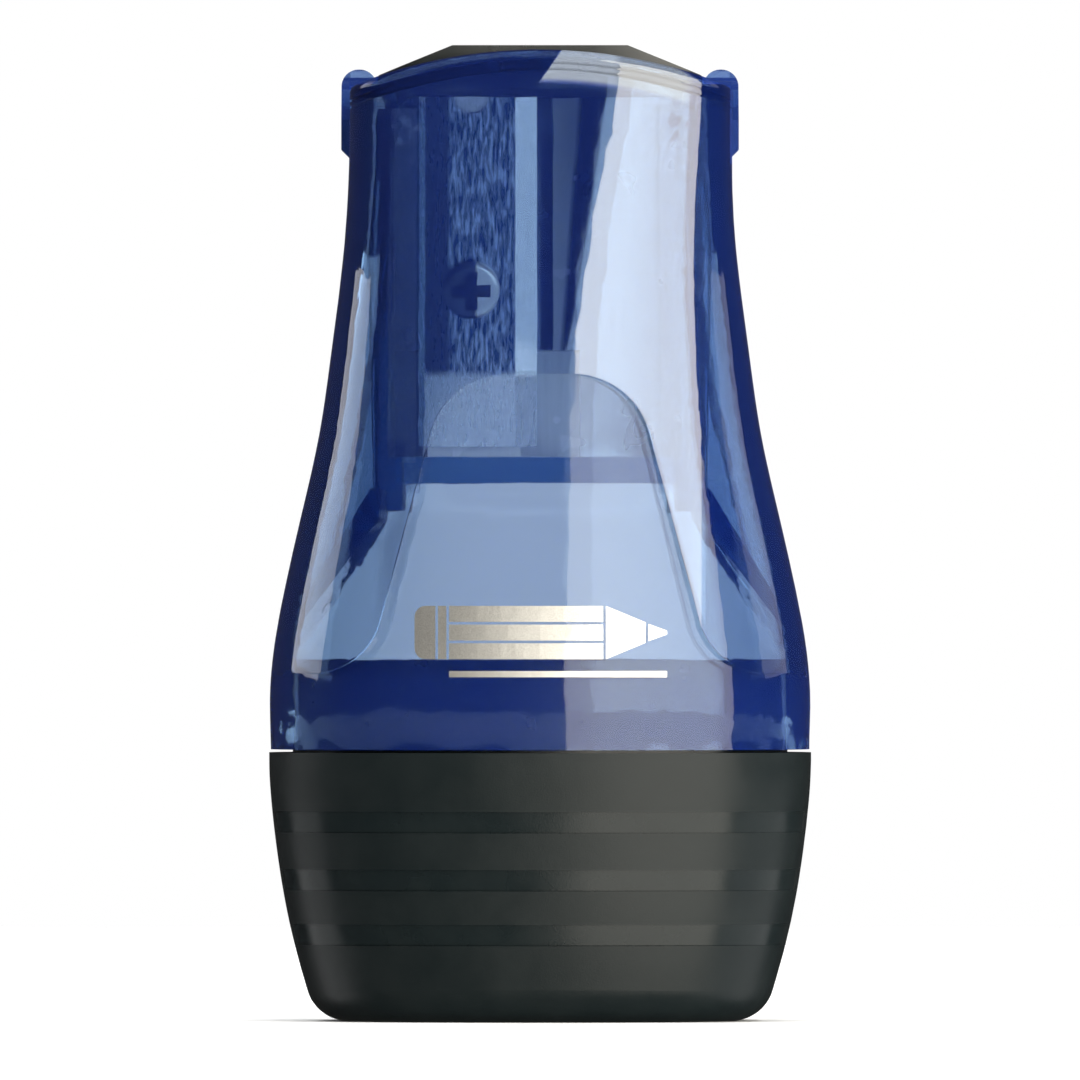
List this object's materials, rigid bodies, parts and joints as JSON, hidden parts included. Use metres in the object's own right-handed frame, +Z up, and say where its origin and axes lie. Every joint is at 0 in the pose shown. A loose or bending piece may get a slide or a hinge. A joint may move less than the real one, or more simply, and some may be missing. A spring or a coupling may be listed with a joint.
{
  "type": "canister pencil sharpener",
  "caption": "Hand-held canister pencil sharpener: see-through upper shell with a metal sharpener block, hinged flap over the pencil hole, and a dark soft-grip shavings cup.",
  "frame": {"origin": "middle of the flat underside, at the level it stands on", "axes": "+Z up along the pencil's axis, front with the cutting edge towards -Y, +X to the right seen from the front"},
  "size_m": [0.0348, 0.0278, 0.0624],
  "materials": {
    "soft_grip": "matte, fine texture",
    "cup_plastic": "satin",
    "shell_plastic": "see-through, polished",
    "carrier_plastic": "see-through",
    "block_metal": "milled, satin",
    "blade_steel": "ground",
    "screw_steel": "bright",
    "flap_plastic": "satin"
  },
  "bodies": {
    "base": {"grip_boot": "soft_grip", "reservoir_cup": "cup_plastic"},
    "upper": {"upper_shell": "shell_plastic", "carrier": "carrier_plastic", "sharpener_block": "block_metal", "blade": "blade_steel", "blade_screw": "screw_steel"},
    "flap": {"flap": "flap_plastic"}
  },
  "joints": [
    {"name": "shell_lift", "type": "slide", "parent": "base", "child": "upper", "axis": [0, 0, 1], "range_m": [0, 0.025]},
    {"name": "flap_hinge", "type": "hinge", "parent": "upper", "child": "flap", "pos_m": [0, 0.0087, 0.0594], "axis": [-1, 0, 0], "range_deg": [0, 100]}
  ]
}
